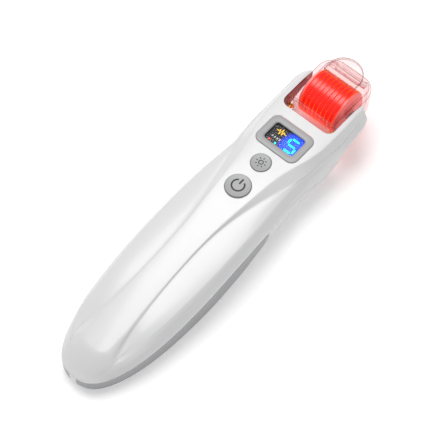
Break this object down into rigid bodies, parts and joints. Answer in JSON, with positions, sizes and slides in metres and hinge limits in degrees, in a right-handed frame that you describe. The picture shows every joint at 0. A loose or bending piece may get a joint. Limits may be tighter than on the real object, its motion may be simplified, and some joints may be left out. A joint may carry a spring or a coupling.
{
  "type": "derma roller",
  "caption": "Cordless derma roller with a lit, removable roller cartridge, a display, push buttons and a metal hand contact.",
  "frame": {"origin": "bottom centre of the overall box, on the table under the back shell", "axes": "+Z out of the display face, +Y from the butt to the roller, +X the device's own right"},
  "size_m": [0.0422, 0.1784, 0.033],
  "materials": {
    "white_shell": "gloss",
    "band_metal": "satin",
    "clear_red": "clear tinted plastic",
    "needle_steel": "polished",
    "drum_plastic": "lit translucent",
    "cap_plastic": "translucent",
    "axle_steel": "ground",
    "washer_plastic": "matt",
    "gold": "plated",
    "bezel_grey": "satin",
    "smoked_window": "gloss",
    "module_black": "matt",
    "button_grey": "satin",
    "switch_black": "matt",
    "plunger_white": "matt",
    "soft_silicone": "soft",
    "circuit_board": "solder mask",
    "chip_black": "matt",
    "inductor_ferrite": "matt",
    "capacitor_can": "bright",
    "lamp_lens": "clear red",
    "lamp_diffuser": "frosted",
    "ribbon_orange": "film",
    "foam_tape": "foam",
    "battery_foil": "foil",
    "socket_steel": "plated",
    "screw_steel": "zinc",
    "plug_rubber": "matt"
  },
  "bodies": {
    "handle": {"back_shell": "white_shell", "battery": "battery_foil", "battery_pad": "foam_tape", "boost_inductor": "inductor_ferrite", "capacitors": "capacitor_can", "case_screws": "screw_steel", "charge_board": "circuit_board", "charge_socket": "socket_steel", "contact_band": "band_metal", "contact_pins": "gold", "controller_chip": "chip_black", "display_bezel": "bezel_grey", "display_module": "module_black", "display_window": "smoked_window", "lamp_board": "circuit_board", "lamp_ribbon": "ribbon_orange", "lamp_window": "lamp_diffuser", "lamps": "lamp_lens", "light_return_sleeve": "soft_silicone", "light_switch": "switch_black", "main_board": "circuit_board", "power_return_sleeve": "soft_silicone", "power_switch": "switch_black", "screw_plugs": "plug_rubber", "socket_tongue": "chip_black", "top_shell": "white_shell"},
    "roller": {"drum_core": "drum_plastic", "needle_discs": "needle_steel", "left_end_cap": "cap_plastic", "right_end_cap": "cap_plastic"},
    "cartridge": {"cartridge_frame": "clear_red", "axle": "axle_steel", "axle_washers": "washer_plastic", "contact_plates": "gold"},
    "light_button": {"light_button": "button_grey", "light_switch_plunger": "plunger_white"},
    "power_button": {"power_button": "button_grey", "power_switch_plunger": "plunger_white"}
  },
  "joints": [
    {"name": "cartridge_slide", "type": "slide", "parent": "handle", "child": "cartridge", "axis": [0, 1, 0], "range_m": [0, 0.03]},
    {"name": "roller_spin", "type": "hinge", "parent": "cartridge", "child": "roller", "pos_m": [0, 0.07305, 0.0208], "axis": [1, 0, 0], "continuous": true},
    {"name": "light_press", "type": "slide", "parent": "handle", "child": "light_button", "axis": [0, 0, -1], "range_m": [0, 0.0005], "stiffness_N_per_m": 800, "springref_m": -0.0005, "deforming": ["light_return_sleeve"]},
    {"name": "power_press", "type": "slide", "parent": "handle", "child": "power_button", "axis": [0, 0, -1], "range_m": [0, 0.0005], "stiffness_N_per_m": 800, "springref_m": -0.0005, "deforming": ["power_return_sleeve"]}
  ]
}
